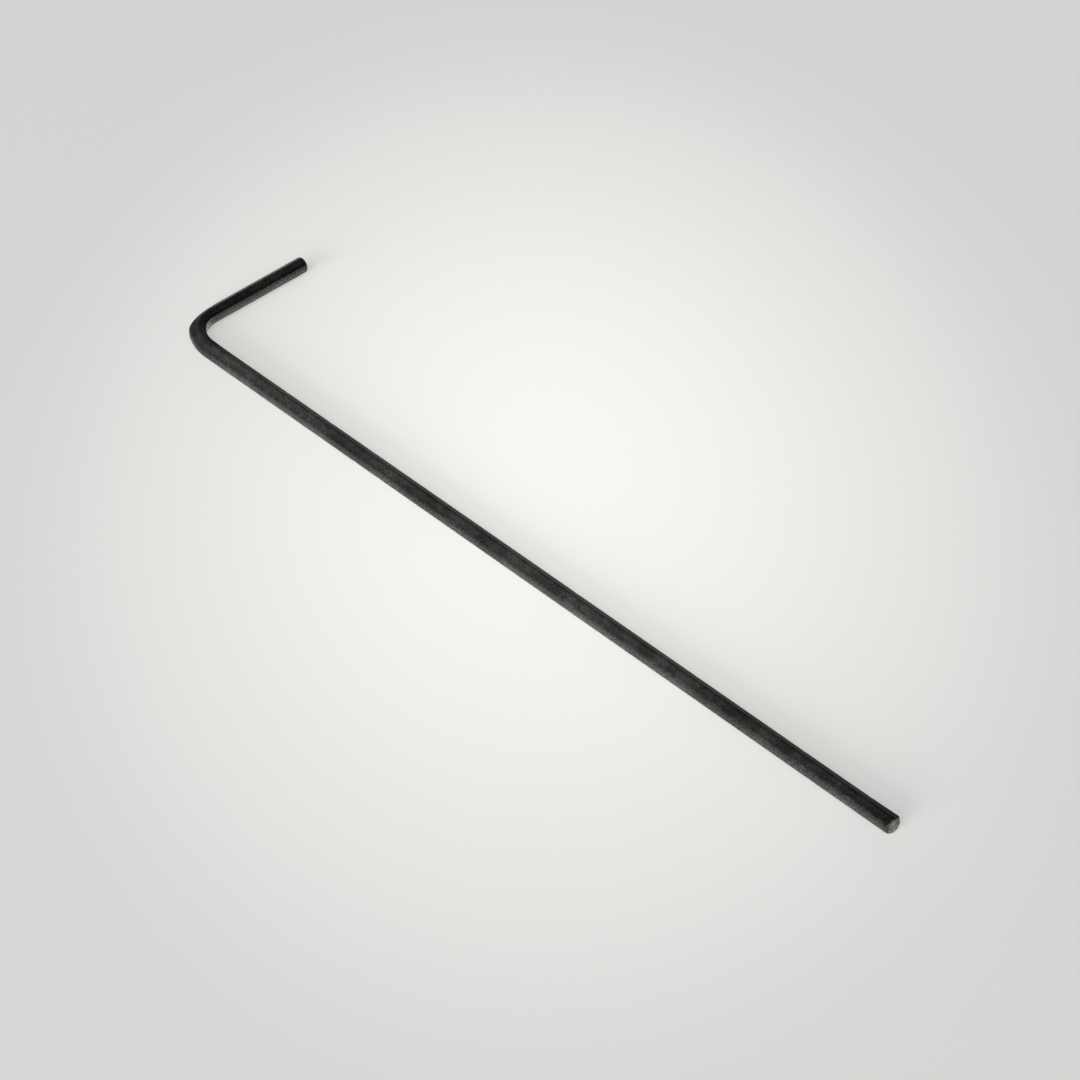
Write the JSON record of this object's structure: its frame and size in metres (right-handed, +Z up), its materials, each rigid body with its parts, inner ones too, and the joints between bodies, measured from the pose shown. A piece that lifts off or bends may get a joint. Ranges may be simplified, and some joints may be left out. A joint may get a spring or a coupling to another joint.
{
  "type": "hex key",
  "caption": "Long-arm L-shaped hex key: one thin hexagonal steel bar bent once at a right angle, with bevelled tips, in a black oxide finish.",
  "frame": {"origin": "on the surface the key lies on, under the middle of its bounding box", "axes": "+X along the long arm towards its tip, +Y along the short arm towards its tip, +Z up, square to the plane of the bend"},
  "size_m": [0.0914, 0.0154, 0.0017],
  "materials": {
    "bar": "satin"
  },
  "bodies": {
    "root": {"hex_key": "bar"}
  },
  "joints": []
}
